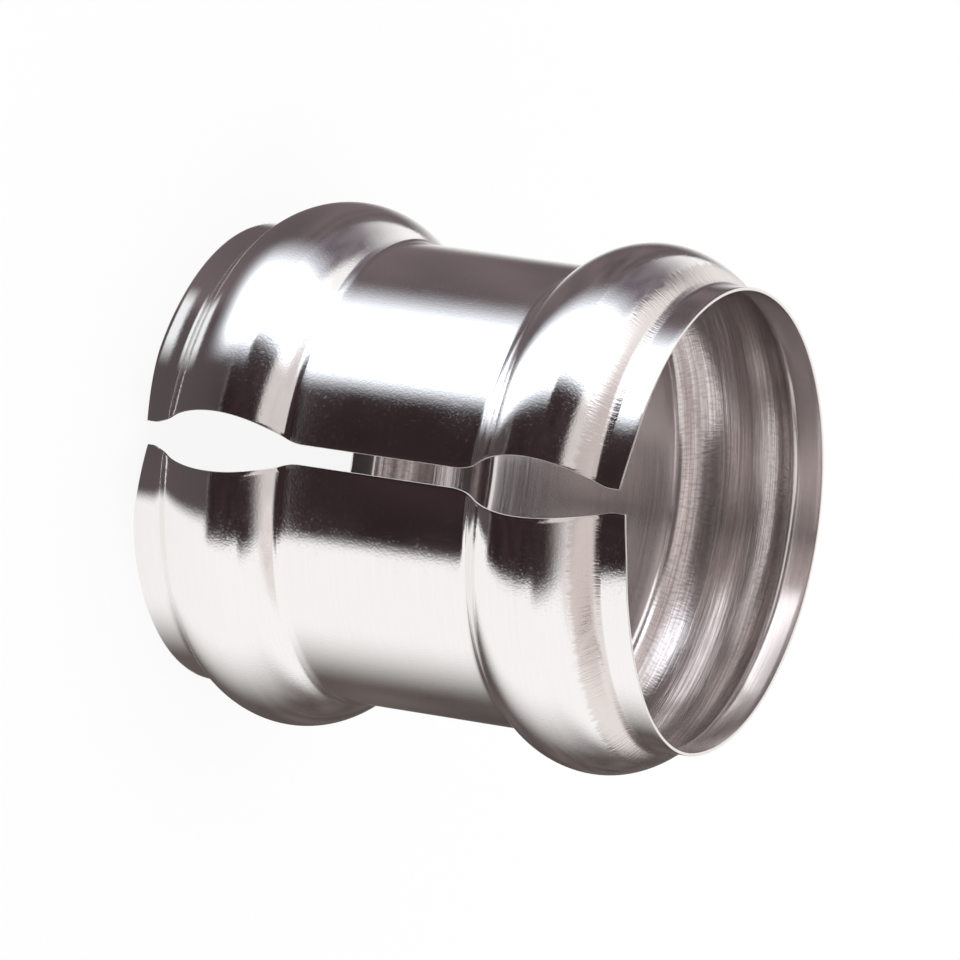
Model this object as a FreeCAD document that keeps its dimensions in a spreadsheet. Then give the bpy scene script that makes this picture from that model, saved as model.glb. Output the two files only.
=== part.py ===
import FreeCAD, Part
import math
import os
import sys

import Sketcher
from FreeCAD import Vector

# A slip coupling: one thin stainless sheet rolled into a sleeve whose two cut edges stay apart as a slit.
# The sleeve stands on its lower end. Its axis is +Z, z = 0 is the lower end, and the slit faces -Y.
# Going up it is a short collar, a bead swelled outwards, a plain tube, a second bead and a second collar.

SIZES = {
    # The bore takes the pipe, and the sheet is as thick everywhere
    "bore_diameter": 76.5,
    "sheet_thickness": 0.5,
    # Lengths along the axis
    "tube_length": 32.8,
    "collar_length": 4.1,
    "bead_width": 24.0,
    # Section of a bead, on the outer face of the sheet
    "bead_height": 5.4,
    "bead_foot_radius": 2.3,
    # Width of the slit along the tube, at the crest of a bead, and at a collar
    "slit_width_at_tube": 3.2,
    "slit_width_at_bead": 9.8,
    "slit_width_at_collar": 3.8,
    # How far outside a bead the slit starts to widen, and how gently
    "slit_lead": 2.4,
    "slit_foot_radius": 8.0,
}

# What follows from those sizes. A swell is a crest arc that runs into a foot arc, so for a swell of a
# given reach and rise the two radii add up to (reach^2 + rise^2) / (2 rise).
DERIVED = {
    "inner_radius": "bore_diameter / 2",
    "outer_radius": "inner_radius + sheet_thickness",
    "outer_crest": "outer_radius + bead_height",
    "inner_crest": "inner_radius + bead_height",
    "total_length": "2 * (collar_length + bead_width) + tube_length",
    "lower_crest_level": "collar_length + bead_width / 2",
    "lower_tube_level": "collar_length + bead_width",
    "upper_tube_level": "total_length - lower_tube_level",
    "upper_crest_level": "total_length - lower_crest_level",
    "upper_collar_level": "total_length - collar_length",
    "bead_radii": "(pow(bead_width / 2; 2) + pow(bead_height; 2)) / (2 * bead_height)",
    "outer_bead_radius": "bead_radii - bead_foot_radius",
    "inner_bead_radius": "outer_bead_radius - sheet_thickness",
    "inner_foot_radius": "bead_foot_radius + sheet_thickness",
    "slit_half_at_tube": "slit_width_at_tube / 2",
    "slit_half_at_bead": "slit_width_at_bead / 2",
    "slit_half_at_collar": "slit_width_at_collar / 2",
    "slit_reach": "bead_width / 2 + slit_lead",
    "slit_rise_from_tube": "slit_half_at_bead - slit_half_at_tube",
    "slit_rise_from_collar": "slit_half_at_bead - slit_half_at_collar",
    "slit_radii_to_tube": "(pow(slit_reach; 2) + pow(slit_rise_from_tube; 2)) / (2 * slit_rise_from_tube)",
    "slit_radii_to_collar":
        "(pow(slit_reach; 2) + pow(slit_rise_from_collar; 2)) / (2 * slit_rise_from_collar)",
    "slit_arc_to_tube": "slit_radii_to_tube - slit_foot_radius",
    "slit_arc_to_collar": "slit_radii_to_collar - slit_foot_radius",
    "slit_lower_collar_level": "lower_crest_level - slit_reach",
    "slit_lower_tube_level": "lower_crest_level + slit_reach",
    "slit_upper_tube_level": "upper_crest_level - slit_reach",
    "slit_upper_collar_level": "upper_crest_level + slit_reach",
    # The cutter runs past the ends of the sleeve and past the crest of the beads
    "slit_overrun": "collar_length",
    "slit_top_level": "total_length + slit_overrun",
    "slit_depth": "outer_crest + slit_overrun",
}

START, END, CENTRE = 1, 2, 3
ORIGIN = (-1, START)


def make_sheet(doc):
    """Write the sizes as plain numbers and the derived values as formulas, each cell with its alias."""
    sheet = doc.addObject("Spreadsheet::Sheet", "sizes")
    cells = {name: str(value) for name, value in SIZES.items()}
    cells.update({name: "=" + formula for name, formula in DERIVED.items()})
    for row, (name, content) in enumerate(cells.items(), start=1):
        sheet.set(f"A{row}", name)
        sheet.set(f"B{row}", content)
        sheet.setAlias(f"B{row}", name)
    doc.recompute()
    return sheet


class Outline:
    """One side of an outline, drawn upwards in a sketch whose x is the distance from the axis.

    Each stretch is tangent to the last, and every length in it is bound to a cell of the sheet.
    A side of -1 draws the same stretches on the other side of the sketch's vertical axis.
    """

    def __init__(self, sketch, sheet, side=1):
        self.sketch = sketch
        self.sheet = sheet
        self.side = side
        self.bottom = None
        self.top = None

    def value(self, name):
        return float(getattr(self.sheet, name)) if name else 0.0

    def bind(self, kind, ends, name):
        """Add a constraint of this kind between the ends, with its value bound to the named cell."""
        index = self.sketch.addConstraint(Sketcher.Constraint(kind, *ends, self.value(name)))
        self.sketch.setExpression(f"Constraints[{index}]", f"sizes.{name}")

    def place(self, point, x_name, level_name):
        """Hold a point at its distance from the vertical axis and at its level."""
        across = (*ORIGIN, *point) if self.side > 0 else (*point, *ORIGIN)
        self.bind("DistanceX", across, x_name)
        if level_name:
            self.bind("DistanceY", (*ORIGIN, *point), level_name)

    def join(self, kind, low, high):
        """Join a new stretch to the top of the outline, which it then becomes."""
        if self.top:
            self.sketch.addConstraint(Sketcher.Constraint(kind, *self.top, *low))
        else:
            self.bottom = low
        self.top = high

    def straight(self, x_name, low_level, high_level, below=None):
        """A line along the axis. Below, where given, is how far under the origin it starts."""
        x = self.side * self.value(x_name)
        low_y = -self.value(below) if below else self.value(low_level)
        line = Part.LineSegment(Vector(x, low_y, 0), Vector(x, self.value(high_level), 0))
        index = self.sketch.addGeometry(line)
        self.sketch.addConstraint(Sketcher.Constraint("Vertical", index))
        self.place((index, START), x_name, low_level)
        if below:
            self.bind("DistanceY", (index, START, *ORIGIN), below)
        elif not low_level:
            self.sketch.addConstraint(Sketcher.Constraint("PointOnObject", index, START, -1))
        self.bind("DistanceY", (*ORIGIN, index, END), high_level)
        self.join("Tangent", (index, START), (index, END))

    def arc(self, centre, radius_name, low_angle, high_angle, kind):
        """An arc about a centre, from one angle at its lower end to another at its upper end."""
        if self.side < 0:
            low_angle = math.pi - low_angle
            high_angle = math.pi - high_angle
        middle = Vector(self.side * centre[0], centre[1], 0)
        circle = Part.Circle(middle, Vector(0, 0, 1), self.value(radius_name))
        ends = sorted((low_angle, high_angle))
        index = self.sketch.addGeometry(Part.ArcOfCircle(circle, *ends))
        self.bind("Radius", (index,), radius_name)
        low, high = (START, END) if low_angle < high_angle else (END, START)
        self.join(kind, (index, low), (index, high))
        return index

    def rise(self, foot, crest, foot_radius, crest_radius):
        """Half a swell, from its foot up to its crest. Foot and crest each name an x and a level."""
        (foot_x, foot_y), (crest_x, crest_y) = self.corner(foot), self.corner(crest)
        small, large = self.value(foot_radius), self.value(crest_radius)
        turn = math.atan2(crest_y - foot_y, small + large - (crest_x - foot_x))
        self.arc((foot_x + small, foot_y), foot_radius, math.pi, math.pi - turn, "Tangent")
        self.arc((crest_x - large, crest_y), crest_radius, -turn, 0, "Tangent")
        self.place(self.top, *crest)

    def fall(self, foot, crest, foot_radius, crest_radius):
        """The other half of a swell, from its crest up to its foot."""
        (foot_x, foot_y), (crest_x, crest_y) = self.corner(foot), self.corner(crest)
        small, large = self.value(foot_radius), self.value(crest_radius)
        turn = math.atan2(foot_y - crest_y, small + large - (crest_x - foot_x))
        self.arc((crest_x - large, crest_y), crest_radius, 0, turn, "Coincident")
        self.arc((foot_x + small, foot_y), foot_radius, math.pi + turn, math.pi, "Tangent")

    def corner(self, names):
        return self.value(names[0]), self.value(names[1])


def close(sketch, low, high):
    """Join two ends of a sketch by a straight line."""
    index = sketch.addGeometry(Part.LineSegment(sketch.getPoint(*low), sketch.getPoint(*high)))
    sketch.addConstraint(Sketcher.Constraint("Coincident", *low, index, START))
    sketch.addConstraint(Sketcher.Constraint("Coincident", *high, index, END))


def upright_sketch(body, name):
    """A sketch on the body's own XZ plane: its x runs outwards from the axis, and its y up the axis."""
    sketch = body.newObject("Sketcher::SketchObject", name)
    plane = next(item for item in body.Origin.OriginFeatures if item.Role == "XZ_Plane")
    sketch.AttachmentSupport = (plane, [""])
    sketch.MapMode = "FlatFace"
    return sketch


def draw_face(sketch, sheet, face, foot_radius, bead_radius):
    """One face of the rolled sheet, from end to end: collar, bead, tube, bead and collar."""
    outline = Outline(sketch, sheet)
    base, crest = f"{face}_radius", f"{face}_crest"
    radii = (foot_radius, bead_radius)
    outline.straight(base, None, "collar_length")
    outline.rise((base, "collar_length"), (crest, "lower_crest_level"), *radii)
    outline.fall((base, "lower_tube_level"), (crest, "lower_crest_level"), *radii)
    outline.straight(base, "lower_tube_level", "upper_tube_level")
    outline.rise((base, "upper_tube_level"), (crest, "upper_crest_level"), *radii)
    outline.fall((base, "upper_collar_level"), (crest, "upper_crest_level"), *radii)
    outline.straight(base, "upper_collar_level", "total_length")
    return outline


def roll_sleeve(body, sheet):
    """Turn the section of the sheet about the axis."""
    sketch = upright_sketch(body, "sheet_section")
    outer = draw_face(sketch, sheet, "outer", "bead_foot_radius", "outer_bead_radius")
    inner = draw_face(sketch, sheet, "inner", "inner_foot_radius", "inner_bead_radius")
    close(sketch, inner.bottom, outer.bottom)
    close(sketch, inner.top, outer.top)
    sleeve = body.newObject("PartDesign::Revolution", "rolled_sleeve")
    sleeve.Profile = sketch
    sleeve.ReferenceAxis = (sketch, ["V_Axis"])
    sleeve.Angle = 360
    return sleeve


def draw_slit_edge(sketch, sheet, side):
    """One cut edge: it keeps to the width of its stretch and swings outwards over each bead."""
    edge = Outline(sketch, sheet, side)
    collar, tube, bead = "slit_half_at_collar", "slit_half_at_tube", "slit_half_at_bead"
    to_collar = ("slit_foot_radius", "slit_arc_to_collar")
    to_tube = ("slit_foot_radius", "slit_arc_to_tube")
    edge.straight(collar, None, "slit_lower_collar_level", below="slit_overrun")
    edge.rise((collar, "slit_lower_collar_level"), (bead, "lower_crest_level"), *to_collar)
    edge.fall((tube, "slit_lower_tube_level"), (bead, "lower_crest_level"), *to_tube)
    edge.straight(tube, "slit_lower_tube_level", "slit_upper_tube_level")
    edge.rise((tube, "slit_upper_tube_level"), (bead, "upper_crest_level"), *to_tube)
    edge.fall((collar, "slit_upper_collar_level"), (bead, "upper_crest_level"), *to_collar)
    edge.straight(collar, "slit_upper_collar_level", "slit_top_level")
    return edge


def cut_slit(body, sheet):
    """Open the sleeve along its front, from one end to the other, through one wall only."""
    sketch = upright_sketch(body, "slit_outline")
    right = draw_slit_edge(sketch, sheet, 1)
    left = draw_slit_edge(sketch, sheet, -1)
    close(sketch, left.bottom, right.bottom)
    close(sketch, left.top, right.top)
    slit = body.newObject("PartDesign::Pocket", "slit")
    slit.Profile = sketch
    slit.Reversed = True
    slit.setExpression("Length", "sizes.slit_depth")
    return slit


def check_objects(doc):
    for item in doc.Objects:
        if "Invalid" in item.State or "Error" in item.State:
            sys.exit(f"{item.Name} did not build: {item.State}")


def check_shape(body):
    if body.Shape.isNull() or not body.Shape.isValid() or len(body.Shape.Solids) != 1:
        sys.exit(f"{body.Label} is not one valid solid")


def main():
    doc = FreeCAD.newDocument("slip_coupling")
    sheet = make_sheet(doc)
    body = doc.addObject("PartDesign::Body", "split_sleeve")
    body.Label = "split_sleeve"
    sleeve = roll_sleeve(body, sheet)
    doc.recompute()
    slit = cut_slit(body, sheet)
    doc.recompute()
    check_objects(doc)
    check_shape(body)
    if slit.Shape.Volume >= sleeve.Shape.Volume:
        sys.exit("the slit cut nothing")
    os.makedirs("parts", exist_ok=True)
    body.Shape.exportStep(f"parts/{body.Label}.step")
    print(f"{body.Label}: {sleeve.Shape.Volume:.1f} mm3 rolled, {body.Shape.Volume:.1f} mm3 with its slit")


main()
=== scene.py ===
import math

import bpy
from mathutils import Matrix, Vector


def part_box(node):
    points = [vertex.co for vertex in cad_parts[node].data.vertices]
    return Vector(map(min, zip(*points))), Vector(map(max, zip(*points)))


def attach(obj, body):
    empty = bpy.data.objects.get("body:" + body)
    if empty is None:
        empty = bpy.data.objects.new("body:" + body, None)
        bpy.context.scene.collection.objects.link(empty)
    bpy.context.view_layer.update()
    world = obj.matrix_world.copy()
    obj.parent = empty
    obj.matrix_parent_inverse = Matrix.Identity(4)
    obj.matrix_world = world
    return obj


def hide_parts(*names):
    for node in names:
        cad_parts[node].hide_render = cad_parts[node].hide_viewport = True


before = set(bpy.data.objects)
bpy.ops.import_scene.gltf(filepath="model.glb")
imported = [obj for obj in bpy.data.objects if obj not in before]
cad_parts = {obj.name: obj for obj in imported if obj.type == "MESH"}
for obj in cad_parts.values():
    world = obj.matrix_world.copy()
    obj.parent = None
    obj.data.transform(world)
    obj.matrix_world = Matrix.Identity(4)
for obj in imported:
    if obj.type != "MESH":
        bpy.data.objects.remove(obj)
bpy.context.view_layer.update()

# The camera
# The sleeve was photographed lying on its side, from a metre and a half away with a long lens. Here it
# stands on its end, so the camera looks down at it and is rolled until +Z points to the right.
CAMERA_PLACE = (0.026826, -1.336375, 0.710099)
CAMERA_TURN = (-16.4092, -62.2971, 109.5927)
LENS_MM = 337.25
SENSOR_MM = 36

camera_data = bpy.data.cameras.new("camera")
camera_data.lens = LENS_MM
camera_data.sensor_width = SENSOR_MM
camera = bpy.data.objects.new("camera", camera_data)
camera.location = CAMERA_PLACE
camera.rotation_euler = [math.radians(turn) for turn in CAMERA_TURN]
bpy.context.scene.collection.objects.link(camera)
bpy.context.scene.camera = camera

# The sleeve
# One strip of bright stainless sheet, half a millimetre thick, rolled into a sleeve. Rollers swelled a
# bead near each end, and the two sheared edges are left apart as a slit that opens over each bead. One
# flap beside the slit has sprung inwards at the upper end, and the corners at the rims are cut back.
MM = 0.001
sleeve_low, sleeve_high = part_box("split_sleeve")
LENGTH = sleeve_high[2] - sleeve_low[2]
CREST_RADIUS = (sleeve_high[0] - sleeve_low[0]) / 2
SHEET = 0.5 * MM
COLLAR = 4.1 * MM
BEAD_WIDTH = 24 * MM
BEAD_HEIGHT = 5.4 * MM
BEAD_FOOT = 2.3 * MM
TUBE_RADIUS = CREST_RADIUS - BEAD_HEIGHT
CREST_LEVELS = (COLLAR + BEAD_WIDTH / 2, LENGTH - COLLAR - BEAD_WIDTH / 2)
SLIT_AT_TUBE = 3.2 * MM
SLIT_AT_BEAD = 9.8 * MM
SLIT_AT_COLLAR = 3.8 * MM
SLIT_LEAD = 2.4 * MM
SLIT_FOOT = 8 * MM
EDGE_ROUNDING = 0.09 * MM

# Where a thing fades out round the sleeve, its two bearings are degrees from the middle of the slit.
FLAP_START = 62 * MM
FLAP_IN = 4.2 * MM
FLAP_CURL = 1.5
FLAP_FADES = (30, 95)
FLAP_EDGE_LIFT = 0.12
FLAP_EDGE_FADES = (0, 25)
LOW_RIGHT_CORNER, LOW_RIGHT_FADES = 3.2 * MM, (-14, 30)
LOW_LEFT_CORNER, LOW_LEFT_FADES = 1.9 * MM, (-10, 26)
TOP_CORNERS, TOP_FADES = 1.1 * MM, (-6, 18)

COLUMNS = 300
FOOT_STEPS = 8
CREST_STEPS = 28
RIM_STEPS = 4
ROUND_STEPS = 3


def swell(distance, reach, height, foot):
    """How high a swell stands at a distance from its crest: a crest arc and a foot arc that touch."""
    both = (reach**2 + height**2) / (2 * height)
    crest = both - foot
    if distance >= reach:
        return 0
    if distance > reach * crest / both:
        return foot - math.sqrt(foot**2 - (reach - distance) ** 2)
    return height - crest + math.sqrt(crest**2 - distance**2)


def slit_half_width(level):
    """Half the slit's width at a height up the sleeve."""
    crest = min(CREST_LEVELS, key=lambda near: abs(level - near))
    to_tube = (level - crest) * (LENGTH / 2 - crest) > 0
    narrow = (SLIT_AT_TUBE if to_tube else SLIT_AT_COLLAR) / 2
    rise = SLIT_AT_BEAD / 2 - narrow
    return narrow + swell(abs(level - crest), BEAD_WIDTH / 2 + SLIT_LEAD, rise, SLIT_FOOT)


def sweep(low, high, steps):
    """Evenly spaced values between two limits, with the second one left out."""
    return [low + (high - low) * step / steps for step in range(steps)]


def section_stations():
    """Points of the sheet's outer face, from the lower end up: radius, level and tilt of the surface."""
    both = ((BEAD_WIDTH / 2) ** 2 + BEAD_HEIGHT**2) / (2 * BEAD_HEIGHT)
    crest_radius = both - BEAD_FOOT
    turn = math.asin(BEAD_WIDTH / 2 / both)
    stations = []
    start = EDGE_ROUNDING
    for crest in CREST_LEVELS:
        foot_low, foot_high = crest - BEAD_WIDTH / 2, crest + BEAD_WIDTH / 2
        steps = max(RIM_STEPS, round((foot_low - start) / MM))
        stations += [(TUBE_RADIUS, level, 0) for level in sweep(start, foot_low, steps)]
        for tilt in sweep(0, -turn, FOOT_STEPS):
            lift = BEAD_FOOT * (1 - math.cos(tilt))
            stations.append((TUBE_RADIUS + lift, foot_low - BEAD_FOOT * math.sin(tilt), tilt))
        for tilt in sweep(-turn, turn, CREST_STEPS):
            lift = BEAD_HEIGHT - crest_radius * (1 - math.cos(tilt))
            stations.append((TUBE_RADIUS + lift, crest + crest_radius * math.sin(tilt), tilt))
        for tilt in sweep(turn, 0, FOOT_STEPS):
            lift = BEAD_FOOT * (1 - math.cos(tilt))
            stations.append((TUBE_RADIUS + lift, foot_high - BEAD_FOOT * math.sin(tilt), tilt))
        start = foot_high
    top = LENGTH - EDGE_ROUNDING
    stations += [(TUBE_RADIUS, level, 0) for level in sweep(start, top, RIM_STEPS) + [top]]
    return stations


def ease(value, start, end):
    """A smooth step from 0 at the start to 1 at the end."""
    share = min(1, max(0, (value - start) / (end - start)))
    return share * share * (3 - 2 * share)


def sprung_in(bearing, level):
    """How far towards the axis the sheet has sprung, where the slit freed it."""
    up_the_flap = max(0, (level - FLAP_START) / (LENGTH - FLAP_START)) ** FLAP_CURL
    edge_lift = FLAP_EDGE_LIFT * (1 - ease(bearing, *FLAP_EDGE_FADES))
    return up_the_flap * FLAP_IN * (1 - ease(bearing, *FLAP_FADES)) * (1 - edge_lift)


def raised(bearing, level):
    """How far up the sheet is moved by the rims, which are cut back at the corners beside the slit."""
    right = LOW_RIGHT_CORNER * (1 - ease(bearing, *LOW_RIGHT_FADES))
    left = LOW_LEFT_CORNER * (1 - ease(360 - bearing, *LOW_LEFT_FADES))
    top = TOP_CORNERS * (1 - ease(min(bearing, 360 - bearing), *TOP_FADES))
    near_bottom = max(0, 1 - level / COLLAR)
    near_top = max(0, 1 - (LENGTH - level) / COLLAR)
    return (right + left) * near_bottom - top * near_top


def sheet_point(radius, level, share):
    """A point of the sheet, by its share of the way round from one slit edge to the other."""
    gap = math.asin((slit_half_width(level) + EDGE_ROUNDING) / radius)
    angle = gap + share * (2 * math.pi - 2 * gap)
    bearing = math.degrees(angle)
    reach = radius - sprung_in(bearing, level)
    place = Vector((reach * math.sin(angle), -reach * math.cos(angle), level + raised(bearing, level)))
    return place, angle


class SheetMesh:
    """Gathers the sheet's points and faces. Each point also keeps its place on the sheet laid flat."""

    def __init__(self):
        self.points = []
        self.angles = []
        self.faces = []
        self.kinds = []

    def add(self, point, angle):
        self.points.append(point)
        self.angles.append(angle)
        return len(self.points) - 1

    def quad(self, corners, kind):
        self.faces.append(corners)
        self.kinds.append(kind)

    def laid_flat(self):
        return [(angle * TUBE_RADIUS / MM, point.z / MM, 0) for point, angle in zip(self.points, self.angles)]


OUTSIDE, INSIDE, CUT_EDGE = range(3)
sheet = SheetMesh()
outer, inner = [], []
for grid, depth in ((outer, 0), (inner, SHEET)):
    for radius, level, tilt in section_stations():
        face_radius = radius - depth * math.cos(tilt)
        face_level = level - depth * math.sin(tilt)
        shares = [column / COLUMNS for column in range(COLUMNS + 1)]
        grid.append([sheet.add(*sheet_point(face_radius, face_level, share)) for share in shares])
for grid, kind in ((outer, OUTSIDE), (inner, INSIDE)):
    for low, high in zip(grid, grid[1:]):
        for column in range(COLUMNS):
            corners = (low[column], low[column + 1], high[column + 1], high[column])
            sheet.quad(corners if kind == OUTSIDE else corners[::-1], kind)


def border(grid, inset):
    """One loop round a grid: bottom rim, one slit edge, top rim, other slit edge, moved in by some steps."""
    last, end = len(grid) - 1, COLUMNS
    rows = [min(max(row, inset), last - inset) for row in range(last + 1)]
    columns = [min(max(column, inset), end - inset) for column in range(end + 1)]
    bottom = [grid[inset][column] for column in columns[:-1]]
    far = [grid[row][end - inset] for row in rows[:-1]]
    top = [grid[last - inset][column] for column in reversed(columns[1:])]
    near = [grid[row][inset] for row in reversed(rows[1:])]
    return bottom + far + top + near


outer_border, inner_border, next_to_border = border(outer, 0), border(inner, 0), border(outer, 1)
rings = [outer_border]
quarter = [step / ROUND_STEPS for step in range(1, ROUND_STEPS + 1)]
for face, shares in ((OUTSIDE, quarter), (INSIDE, quarter[-2::-1])):
    for share in shares:
        turn = share * math.pi / 2
        ring = []
        for outside_point, inside_point, neighbour in zip(outer_border, inner_border, next_to_border):
            top, bottom = sheet.points[outside_point], sheet.points[inside_point]
            through = (bottom - top).normalized()
            out = top - sheet.points[neighbour]
            out = (out - out.dot(through) * through).normalized()
            start, inwards = (top, through) if face == OUTSIDE else (bottom, -through)
            point = start + EDGE_ROUNDING * (math.sin(turn) * out + (1 - math.cos(turn)) * inwards)
            ring.append(sheet.add(point, sheet.angles[outside_point]))
        rings.append(ring)
rings.append(inner_border)
for upper, lower in zip(rings, rings[1:]):
    for place in range(len(upper)):
        after = (place + 1) % len(upper)
        sheet.quad((upper[place], lower[place], lower[after], upper[after]), CUT_EDGE)

sleeve_mesh = bpy.data.meshes.new("split_sleeve_sheet")
sleeve_mesh.from_pydata(sheet.points, [], sheet.faces)
sleeve_mesh.polygons.foreach_set("material_index", sheet.kinds)
sleeve_mesh.polygons.foreach_set("use_smooth", [True] * len(sheet.faces))
unrolled = sleeve_mesh.attributes.new("unrolled", "FLOAT_VECTOR", "POINT")
unrolled.data.foreach_set("vector", [value for place in sheet.laid_flat() for value in place])
sleeve_mesh.update()
sleeve = bpy.data.objects.new("rolled_sheet", sleeve_mesh)
bpy.context.scene.collection.objects.link(sleeve)
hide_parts("split_sleeve")
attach(sleeve, "root")


def linear(hex_colour):
    """A colour written as sRGB hex, in the linear values that shaders take."""
    parts = [int(hex_colour[place : place + 2], 16) / 255 for place in (1, 3, 5)]
    return [p / 12.92 if p <= 0.04045 else ((p + 0.055) / 1.055) ** 2.4 for p in parts] + [1]


def node(material, kind, links=(), values=(), **settings):
    """Add a node. A link names an input and gives a socket, or a node whose first output in use it takes."""
    made = material.node_tree.nodes.new("ShaderNode" + kind)
    for name, value in settings.items():
        setattr(made, name, value)
    for name, value in dict(values).items():
        made.inputs[name].default_value = value
    for name, source in dict(links).items():
        if isinstance(source, bpy.types.Node):
            source = next(output for output in source.outputs if output.enabled)
        material.node_tree.links.new(source, made.inputs[name])
    return made


def empty_material(name, mesh):
    """A material with no nodes yet, as the next one of a mesh."""
    material = bpy.data.materials.new(name)
    material.use_nodes = True
    material.node_tree.nodes.clear()
    mesh.materials.append(material)
    return material


# Bright rolled stainless steel: a mirror with a slight haze. The peel of the rolled skin, drawn three
# times as coarse as it is, breaks the borders of light and dark into grains. The forming roller left a
# dull band of cross marks on the upper bead's outer shoulder, with a jagged edge towards the crest.
PEEL_MM = 0.4
PEEL_DEPTH = 12e-6
PIT_LEVELS = (0.56, 0.68)
PIT_HAZE = 0.1
CLOUD_MM = 9
CLOUD_LEVELS = (0.35, 0.65)
HAZE = (0.08, 0.13)
ROLL_LINE_MM = (25, 0.56)
ROLL_LINE_DEPTH = 2e-6
ROLLED_TINTS = ("#F9F7F5", "#F3F0EE")
BAND_LEVELS_MM = (81.9, 82.5, 84.5, 84.9)
BAND_JAG_MM = 1.43
BAND_JAG_DEPTH_MM = 2.4
BAND_MARK_MM = (0.385, 4.5)
BAND_MARK_DEPTH = 60e-6
BAND_HAZE = 0.07
BAND_TINT = "#E4DCD8"

outside = empty_material("bright_rolled_stainless", sleeve_mesh)
sheet_mm = node(outside, "Attribute", attribute_name="unrolled").outputs["Vector"]
up_mm = node(outside, "SeparateXYZ", {0: sheet_mm}).outputs["Y"]
place = node(outside, "TexCoord").outputs["Object"]
in_mm = node(outside, "VectorMath", {0: place}, {1: (1 / MM, 1 / MM, 1 / MM)}, operation="MULTIPLY")
peel = node(outside, "TexNoise", {"Vector": in_mm}, {"Scale": 1 / PEEL_MM, "Detail": 2, "Roughness": 0.6})
pits = node(
    outside,
    "MapRange",
    {"Value": peel},
    {"From Min": PIT_LEVELS[0], "From Max": PIT_LEVELS[1], "To Max": PIT_HAZE},
)
drawn_out = (1 / ROLL_LINE_MM[0], 1 / ROLL_LINE_MM[1], 1)
drawn = node(outside, "VectorMath", {0: sheet_mm}, {1: drawn_out}, operation="MULTIPLY")
roll_lines = node(outside, "TexNoise", {"Vector": drawn}, {"Scale": 1, "Detail": 2, "Roughness": 0.7})
clouds = node(
    outside,
    "TexNoise",
    {"Vector": in_mm},
    {"Scale": 1 / CLOUD_MM, "Detail": 1, "Roughness": 0.6},
)
round_only = node(outside, "VectorMath", {0: sheet_mm}, {1: (1 / BAND_JAG_MM, 0, 1)}, operation="MULTIPLY")
jag = node(outside, "TexNoise", {"Vector": round_only}, {"Scale": 1, "Detail": 2, "Roughness": 0.8})
jagged_mm = node(outside, "Math", {0: jag, 2: up_mm}, {1: BAND_JAG_DEPTH_MM}, operation="MULTIPLY_ADD")
start, full, fading, end = BAND_LEVELS_MM
band_starts = node(outside, "MapRange", {"Value": jagged_mm}, {"From Min": start, "From Max": full})
band_ends = node(outside, "MapRange", {"Value": up_mm}, {"From Min": end, "From Max": fading})
band = node(outside, "Math", {0: band_starts, 1: band_ends}, operation="MULTIPLY")
cross = (1 / BAND_MARK_MM[0], 1 / BAND_MARK_MM[1], 1)
crossed = node(outside, "VectorMath", {0: sheet_mm}, {1: cross}, operation="MULTIPLY")
marks = node(outside, "TexNoise", {"Vector": crossed}, {"Scale": 1, "Detail": 2, "Roughness": 0.6})
marks_in_band = node(outside, "Math", {0: marks, 1: band}, operation="MULTIPLY")
haze = node(
    outside,
    "MapRange",
    {"Value": clouds},
    {"From Min": CLOUD_LEVELS[0], "From Max": CLOUD_LEVELS[1], "To Min": HAZE[0], "To Max": HAZE[1]},
)
pitted = node(outside, "Math", {0: haze, 1: pits}, operation="ADD")
dulled = node(outside, "Math", {0: band, 2: pitted}, {1: BAND_HAZE}, operation="MULTIPLY_ADD")
tint = node(
    outside,
    "Mix",
    {"Factor": roll_lines},
    {"A": linear(ROLLED_TINTS[0]), "B": linear(ROLLED_TINTS[1])},
    data_type="RGBA",
)
scuffed = node(outside, "Mix", {"Factor": band, "A": tint}, {"B": linear(BAND_TINT)}, data_type="RGBA")
rolled = node(outside, "Bump", {"Height": roll_lines}, {"Distance": ROLL_LINE_DEPTH})
marked = node(outside, "Bump", {"Height": marks_in_band, "Normal": rolled}, {"Distance": BAND_MARK_DEPTH})
peeled = node(outside, "Bump", {"Height": peel, "Normal": marked}, {"Distance": PEEL_DEPTH})
skin = node(
    outside,
    "BsdfPrincipled",
    {"Base Color": scuffed, "Roughness": dulled, "Normal": peeled},
    {"Metallic": 1},
)
node(outside, "OutputMaterial", {"Surface": skin})

# Mill finish stainless steel: the inside is a browner and duller mirror. Inside each bead the forming
# rollers left it with short chatter ticks all over and with streaks that run round the crest.
MIDDLE_MM = LENGTH / 2 / MM
CREST_MM = (CREST_LEVELS[1] - LENGTH / 2) / MM
BEAD_FADES_MM = (12, 9.5)
CREST_FADES_MM = (8, 3)
STREAKS_OFF_CREST = 0.06
TICK_MM = (0.45, 1.2)
TICK_DEPTH = 30e-6
TICK_TINT = "#8F8482"
TICK_LEVELS = (0.55, 0.35)
TICK_SHARE = 0.35
TICK_FADES_MM = (2, 7)
TICKS_AT_CREST = 0.25
STREAK_MM = (33, 0.5)
STREAK_DEPTH = 60e-6
STREAK_TINTS = ("#E8E0DE", "#B8AEAC")
STREAK_TINT_LEVELS = (0.36, 0.64)
STREAK_HAZE = (0.14, 0.24)
STREAK_HAZE_LEVELS = (0.3, 0.7)
MILL_TINT = "#F0EAE9"
MATT_HAZE = 0.7
MATT_SHARE = 0.08

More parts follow.
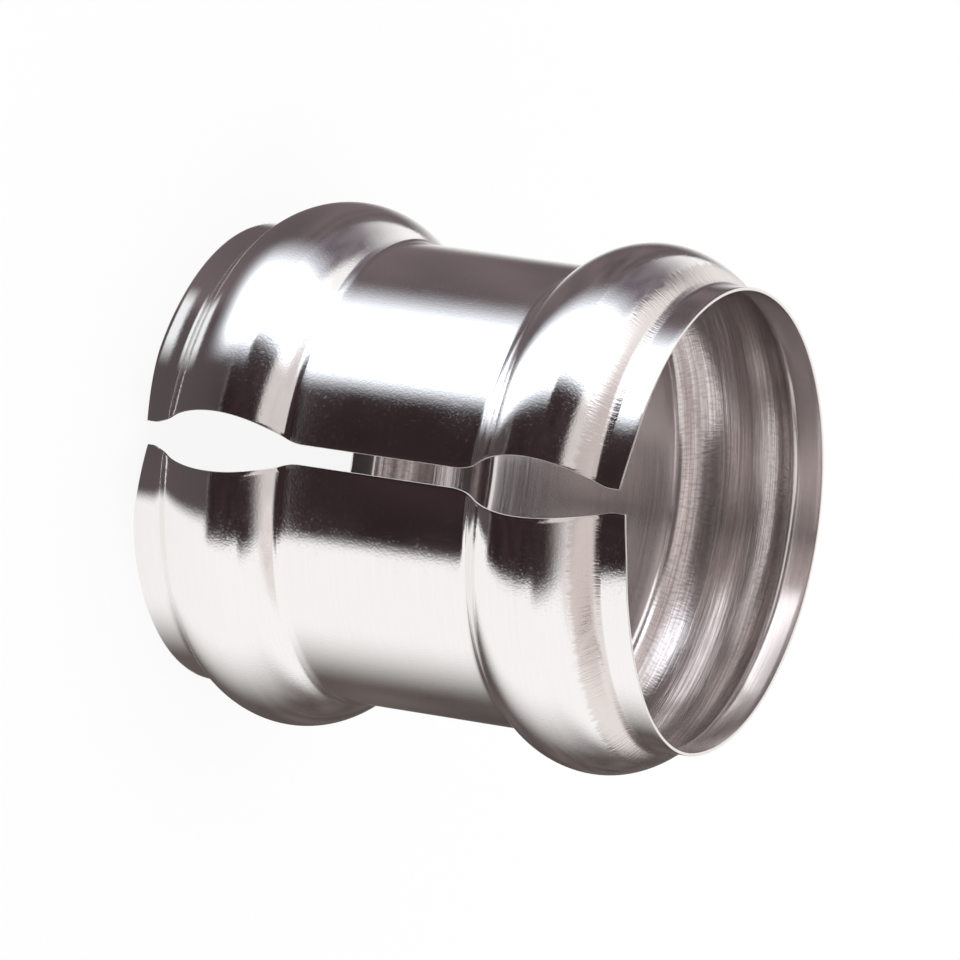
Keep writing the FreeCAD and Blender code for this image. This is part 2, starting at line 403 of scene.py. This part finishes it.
inside = empty_material("mill_finish_stainless", sleeve_mesh)
sheet_mm = node(inside, "Attribute", attribute_name="unrolled").outputs["Vector"]
ticked = (1 / TICK_MM[0], 1 / TICK_MM[1], 1)
ticked_mm = node(inside, "VectorMath", {0: sheet_mm}, {1: ticked}, operation="MULTIPLY")
chatter = node(inside, "TexNoise", {"Vector": ticked_mm}, {"Scale": 1, "Detail": 1.5, "Roughness": 0.5})
streaked = (1 / STREAK_MM[0], 1 / STREAK_MM[1], 1)
streaked_mm = node(inside, "VectorMath", {0: sheet_mm}, {1: streaked}, operation="MULTIPLY")
streaks = node(inside, "TexNoise", {"Vector": streaked_mm}, {"Scale": 1, "Detail": 3, "Roughness": 0.75})
up_mm = node(inside, "SeparateXYZ", {0: sheet_mm}).outputs["Y"]
past_middle = node(inside, "Math", {0: up_mm}, {1: MIDDLE_MM}, operation="SUBTRACT")
from_middle = node(inside, "Math", {0: past_middle}, operation="ABSOLUTE")
past_crest = node(inside, "Math", {0: from_middle}, {1: CREST_MM}, operation="SUBTRACT")
from_crest = node(inside, "Math", {0: past_crest}, operation="ABSOLUTE")
in_bead = node(
    inside,
    "MapRange",
    {"Value": from_crest},
    {"From Min": BEAD_FADES_MM[0], "From Max": BEAD_FADES_MM[1]},
    interpolation_type="SMOOTHSTEP",
)
at_crest = node(
    inside,
    "MapRange",
    {"Value": from_crest},
    {"From Min": CREST_FADES_MM[0], "From Max": CREST_FADES_MM[1], "To Min": STREAKS_OFF_CREST},
    interpolation_type="SMOOTHSTEP",
)
off_crest = node(
    inside,
    "MapRange",
    {"Value": from_crest},
    {"From Min": TICK_FADES_MM[0], "From Max": TICK_FADES_MM[1], "To Min": TICKS_AT_CREST},
)
in_ticks = node(inside, "Math", {0: off_crest, 1: in_bead}, operation="MULTIPLY")
tick_height = node(inside, "Math", {0: chatter, 1: in_ticks}, operation="MULTIPLY")
streak_height = node(inside, "Math", {0: streaks, 1: at_crest}, operation="MULTIPLY")
low, high = STREAK_HAZE_LEVELS
haze = node(
    inside,
    "MapRange",
    {"Value": streaks},
    {"From Min": low, "From Max": high, "To Min": STREAK_HAZE[0], "To Max": STREAK_HAZE[1]},
)
low, high = STREAK_TINT_LEVELS
streak_share = node(inside, "MapRange", {"Value": streaks}, {"From Min": low, "From Max": high})
streak_tint = node(
    inside,
    "Mix",
    {"Factor": streak_share},
    {"A": linear(STREAK_TINTS[0]), "B": linear(STREAK_TINTS[1])},
    data_type="RGBA",
)
clean = node(inside, "Mix", {"Factor": in_bead, "B": streak_tint}, {"A": linear(MILL_TINT)}, data_type="RGBA")
tick = node(
    inside,
    "MapRange",
    {"Value": chatter},
    {"From Min": TICK_LEVELS[0], "From Max": TICK_LEVELS[1], "To Max": TICK_SHARE},
)
tick_shown = node(inside, "Math", {0: tick, 1: in_ticks}, operation="MULTIPLY")
worn = node(inside, "Mix", {"Factor": tick_shown, "A": clean}, {"B": linear(TICK_TINT)}, data_type="RGBA")
with_streaks = node(inside, "Bump", {"Height": streak_height}, {"Distance": STREAK_DEPTH})
with_ticks = node(inside, "Bump", {"Height": tick_height, "Normal": with_streaks}, {"Distance": TICK_DEPTH})
skin = node(
    inside,
    "BsdfPrincipled",
    {"Base Color": worn, "Roughness": haze, "Normal": with_ticks},
    {"Metallic": 1},
)
matt = node(inside, "BsdfPrincipled", {"Base Color": worn}, {"Metallic": 1, "Roughness": MATT_HAZE})
both = node(inside, "MixShader", {1: skin, 2: matt}, {0: MATT_SHARE})
node(inside, "OutputMaterial", {"Surface": both})

# Sheared stainless steel: the edge is a bright line, a little torn by the blade. The tearing is drawn
# about as wide as the sheet is thick, because a finer one wouldn't show.
TEAR_MM = 0.33
TEAR_DEPTH = 30e-6
EDGE_TINT = "#F0EBE8"
EDGE_HAZE = 0.28

edge = empty_material("sheared_stainless_edge", sleeve_mesh)
place = node(edge, "TexCoord").outputs["Object"]
torn = node(edge, "TexNoise", {"Vector": place}, {"Scale": 1 / (TEAR_MM * MM), "Detail": 2})
tear = node(edge, "Bump", {"Height": torn}, {"Distance": TEAR_DEPTH})
skin = node(
    edge,
    "BsdfPrincipled",
    {"Normal": tear},
    {"Base Color": linear(EDGE_TINT), "Roughness": EDGE_HAZE, "Metallic": 1},
)
node(edge, "OutputMaterial", {"Surface": skin})

# The table and the room
# A plain white table top in a plain white room. The camera and the metal see the table's own white, and
# the rest of it takes light as paint does, so it keeps the sleeve's shadow.
FLOOR_REACH = 5.0
FLOOR_WHITE_SHARE = 0.88
FLOOR_ROUGHNESS = 0.9
WHITE = "#FFFFFF"

floor_corners = [(x * FLOOR_REACH, y * FLOOR_REACH, 0) for x, y in ((-1, -1), (1, -1), (1, 1), (-1, 1))]
floor_mesh = bpy.data.meshes.new("floor")
floor_mesh.from_pydata(floor_corners, [], [(0, 1, 2, 3)])
floor = bpy.data.objects.new("floor", floor_mesh)
bpy.context.scene.collection.objects.link(floor)

table = empty_material("white_table_top", floor_mesh)
painted = node(
    table,
    "BsdfPrincipled",
    (),
    {"Base Color": linear(WHITE), "Roughness": FLOOR_ROUGHNESS, "Specular IOR Level": 0},
)
white = node(table, "Emission", (), {"Color": linear(WHITE), "Strength": 1})
ray = node(table, "LightPath").outputs
mirrored = node(table, "Math", {0: ray["Is Glossy Ray"], 1: ray["Is Transmission Ray"]}, operation="MAXIMUM")
seen = node(table, "Math", {0: ray["Is Camera Ray"], 1: mirrored}, operation="MAXIMUM")
white_share = node(table, "Math", {0: seen}, {1: FLOOR_WHITE_SHARE}, operation="MULTIPLY")
top = node(table, "MixShader", {0: white_share, 1: painted, 2: white})
node(table, "OutputMaterial", {"Surface": top})

world = bpy.data.worlds.new("white_room")
world.use_nodes = True
world.node_tree.nodes["Background"].inputs["Color"].default_value = linear(WHITE)
world.node_tree.nodes["Background"].inputs["Strength"].default_value = 1
bpy.context.scene.world = world
bpy.context.scene.view_settings.view_transform = "Standard"

# What the metal mirrors
# Sheets of dark, brown, grey and pale card and one bright softbox stand round the sleeve or lie on the
# table. Only the metal sees them, and their edges are soft. Their bearings are degrees round from the
# camera, with plus towards -X.
CAMERA_BEARING = 1.15
FOOT_CIRCLE = 38.85 * MM
CARD_REACH = 0.45
LAYER_STEP = 0.01
LAYER_LIFT = 0.04 * MM
CARD_COLUMNS = 80
FADE_STEPS = 6
PATCH_SCALE = 14
PATCH_SWING = 0.35


def hidden_card(name, colour, grid, strength=1, uneven=PATCH_SWING):
    """A card that only the metal sees. Its grid has columns of points, each with how much it covers there.
    An uneven card is lighter and darker in patches, as a real room is."""
    rows = len(grid[0])
    points = [point for column in grid for point, cover in column]
    covers = [cover for column in grid for point, cover in column]
    first_corners = [column * rows + row for column in range(len(grid) - 1) for row in range(rows - 1)]
    card_mesh = bpy.data.meshes.new(name)
    card_mesh.from_pydata(points, [], [(a, a + 1, a + rows + 1, a + rows) for a in first_corners])
    card_mesh.attributes.new("cover", "FLOAT", "POINT").data.foreach_set("value", covers)
    card = bpy.data.objects.new(name, card_mesh)
    bpy.context.scene.collection.objects.link(card)
    card.visible_camera = False
    card.visible_diffuse = False
    card.visible_transmission = False
    card.visible_shadow = False
    paint = empty_material(name, card_mesh)
    glow = node(paint, "Emission", (), {"Color": linear(colour), "Strength": strength})
    if uneven:
        place = node(paint, "TexCoord").outputs["Object"]
        patches = node(
            paint,
            "TexNoise",
            {"Vector": place},
            {"Scale": PATCH_SCALE, "Detail": 1, "Roughness": 0.6},
        )
        darkest, lightest = (strength * (1 + 2 * swing) for swing in (-uneven, uneven))
        level = node(paint, "MapRange", {"Value": patches}, {"To Min": darkest, "To Max": lightest})
        paint.node_tree.links.new(level.outputs[0], glow.inputs["Strength"])
    shown = node(paint, "Attribute", attribute_name="cover").outputs["Fac"]
    clear = node(paint, "BsdfTransparent")
    soft_edged = node(paint, "MixShader", {0: shown, 1: clear, 2: glow})
    node(paint, "OutputMaterial", {"Surface": soft_edged})


def fade(value, start, full, fading, end):
    """1 in the middle, with a smooth rise and fall. A rise or fall of no length is a plain edge."""
    rise = ease(value, start, full) if full > start else 1
    fall = 1 - ease(value, fading, end) if end > fading else 1
    return rise * fall


def studio_card(name, colour, bearings, lies=None, stands=None, layer=1, strength=1, uneven=PATCH_SWING):
    """A card that lies on the table along lines from the sleeve's foot, or stands up at their far end. It
    fades in and out over its four bearings, and over four distances (lies) or four heights (stands). A
    higher layer covers a lower one."""
    fades = lies or stands
    edges = zip(fades, fades[1:])
    steps = {low + (high - low) * step / FADE_STEPS for low, high in edges for step in range(FADE_STEPS + 1)}
    grid = []
    for bearing in sweep(bearings[0], bearings[3], CARD_COLUMNS) + [bearings[3]]:
        away = math.radians(bearing - CAMERA_BEARING)
        column = []
        for step in sorted(steps):
            along = step if lies else CARD_REACH - layer * LAYER_STEP
            height = layer * LAYER_LIFT if lies else step
            x = -FOOT_CIRCLE * math.sin(away / 2) - along * math.sin(away)
            y = -FOOT_CIRCLE * math.cos(away / 2) - along * math.cos(away)
            column.append(((x, y, height), fade(bearing, *bearings) * fade(step, *fades)))
        grid.append(column)
    hidden_card(name, colour, grid, strength, uneven)


BLACK = "#34282A"
DUSK = "#524A4C"
BROWN = "#6A5F62"
UPPER_BROWN = "#766E75"
GREY = "#615957"
PALE = "#D4CECD"
SOFTBOX, SOFTBOX_STRENGTH = "#EFF6FF", 2.5
GLINT = "#E7EAED"
TO_END = (0, 0, CARD_REACH, CARD_REACH)
LEFT_END = (60, 75)

studio_card("brown_card_lying", BROWN, (50, 60, 150, 174), lies=TO_END)
studio_card("brown_card", UPPER_BROWN, (84, 92, 118, 150), stands=(0, 0, 0.2, 0.3))
studio_card("grey_card_lying", GREY, (-184, -170, -135, -85), lies=TO_END)
studio_card("grey_card", GREY, (-184, -170, -135, -85), stands=(0, 0, 0.1, 0.24))
studio_card("pale_card", PALE, (-37, -31, *LEFT_END), stands=(0.2, 0.21, 1.0, 1.1), uneven=0.1)
studio_card("dusk_card_near", DUSK, (-34, -26, *LEFT_END), lies=(0, 0, 0.045, 0.055), layer=2)
studio_card("black_card_lying", BLACK, (-42, -35, *LEFT_END), lies=(0.04, 0.055, *TO_END[2:]), layer=3)
studio_card("black_card_low", BLACK, (-42, -36, *LEFT_END), stands=(0, 0, 0.22, 0.26), layer=2)
studio_card("black_card_right", BLACK, (-51, -39, -12, -2), stands=(0.15, 0.2, 0.3, 0.66), layer=3)
studio_card("black_card_left", BLACK, (-6, 0, *LEFT_END), stands=(0, 0, 0.25, 0.33), layer=4)
studio_card(
    "softbox_lying",
    SOFTBOX,
    (34, 55, 66, 106),
    lies=(0.008, 0.028, *TO_END[2:]),
    layer=5,
    strength=SOFTBOX_STRENGTH,
    uneven=0,
)
studio_card(
    "softbox",
    SOFTBOX,
    (43, 60, 66, 106),
    stands=(0, 0, 0.35, 0.6),
    layer=5,
    strength=SOFTBOX_STRENGTH,
    uneven=0,
)
studio_card("collar_glint", GLINT, (34, 52, 70, 84), lies=(0.0003, 0.0008, 0.0033, 0.0048), layer=6)


def ring_point(radius, bearing, height):
    """A point on a circle round the sleeve's axis, with its bearing in degrees from -Y towards -X."""
    turn = math.radians(bearing)
    return (-radius * math.sin(turn), -radius * math.cos(turn), height)


# A dark card that only the metal sees lies on the floor inside the sleeve, as painted shade in its
# reflections.
# It is lighter in a stretch to the left and clear in its middle, where the floor's white shows.
INSIDE_SHADE = "#352E2F"
WELL_HEIGHT = 0.1 * MM
WELL_BEARINGS = (-46, -34, 190, 205)
WELL_LIGHT_BEARINGS = (64, 80, 125, 150)
WELL_LIGHT = 0.8
WELL_NEAR_BEARINGS = (50, 64)
WELL_NEAR_MM, WELL_FAR_MM = (8, 14), (20, 24.5)
WELL_RINGS_MM = (8, 10, 12, 14, 20, 21.5, 23, 24.5, 30, 38)
WELL_COLUMNS = 60

well = []
for bearing in sweep(WELL_BEARINGS[0], WELL_BEARINGS[3], WELL_COLUMNS) + [WELL_BEARINGS[3]]:
    shown = fade(bearing, *WELL_BEARINGS) * (1 - WELL_LIGHT * fade(bearing, *WELL_LIGHT_BEARINGS))
    far_side = ease(bearing, *WELL_NEAR_BEARINGS)
    column = []
    for ring in WELL_RINGS_MM:
        from_middle = (1 - far_side) * ease(ring, *WELL_NEAR_MM) + far_side * ease(ring, *WELL_FAR_MM)
        column.append((ring_point(ring * MM, bearing, WELL_HEIGHT), shown * from_middle))
    well.append(column)
hidden_card("painted_shade_inside", INSIDE_SHADE, well)

# A small flag hangs over the mouth of the sleeve, where only the far inner wall mirrors it.
FLAG = "#6F696A"
FLAG_Y = -30 * MM
FLAG_X_MM = (-36, -26, 36, 50)
FLAG_Z_MM = (90, 93, 137, 150)
FLAG_COLUMNS, FLAG_ROWS = 40, 24

flag = []
for x in sweep(FLAG_X_MM[0], FLAG_X_MM[3], FLAG_COLUMNS) + [FLAG_X_MM[3]]:
    column = []
    for z in sweep(FLAG_Z_MM[0], FLAG_Z_MM[3], FLAG_ROWS) + [FLAG_Z_MM[3]]:
        column.append(((x * MM, FLAG_Y, z * MM), fade(x, *FLAG_X_MM) * fade(z, *FLAG_Z_MM)))
    flag.append(column)
hidden_card("dark_flag", FLAG, flag)

# A small lamp stands in the mouth of the sleeve. Only the metal sees it, and the far collar mirrors it.
LAMP_PLACE = (-24 * MM, 2 * MM, 56 * MM)
LAMP_TURN = (0, -90, 0)
LAMP_HEIGHT = 17 * MM
LAMP_WIDTH = 50 * MM
LAMP_WHITE = "#F8FBFF"
LAMP_BRIGHTNESS = 1.3

lamp_data = bpy.data.lights.new("mouth_lamp", "AREA")
lamp_data.shape = "RECTANGLE"
lamp_data.size = LAMP_HEIGHT
lamp_data.size_y = LAMP_WIDTH
lamp_data.color = linear(LAMP_WHITE)[:3]
lamp_data.energy = LAMP_BRIGHTNESS * math.pi * LAMP_HEIGHT * LAMP_WIDTH
lamp = bpy.data.objects.new("mouth_lamp", lamp_data)
lamp.location = LAMP_PLACE
lamp.rotation_euler = [math.radians(turn) for turn in LAMP_TURN]
lamp.visible_camera = False
lamp.visible_diffuse = False
lamp.visible_transmission = False
bpy.context.scene.collection.objects.link(lamp)

# The ceiling is a little darker than the walls.
CEILING = "#E5DEDD"
CEILING_HEIGHT = 1.0
CEILING_FADES = (0.8, 1.1)
CEILING_RINGS = (0.001, 0.5, 0.8, 0.9, 1.0, 1.1)
CEILING_COLUMNS = 48

ceiling = []
for bearing in sweep(0, 360, CEILING_COLUMNS) + [360]:
    rings = [(ring_point(radius, bearing, CEILING_HEIGHT), radius) for radius in CEILING_RINGS]
    ceiling.append([(point, 1 - ease(radius, *CEILING_FADES)) for point, radius in rings])
hidden_card("pale_ceiling", CEILING, ceiling)
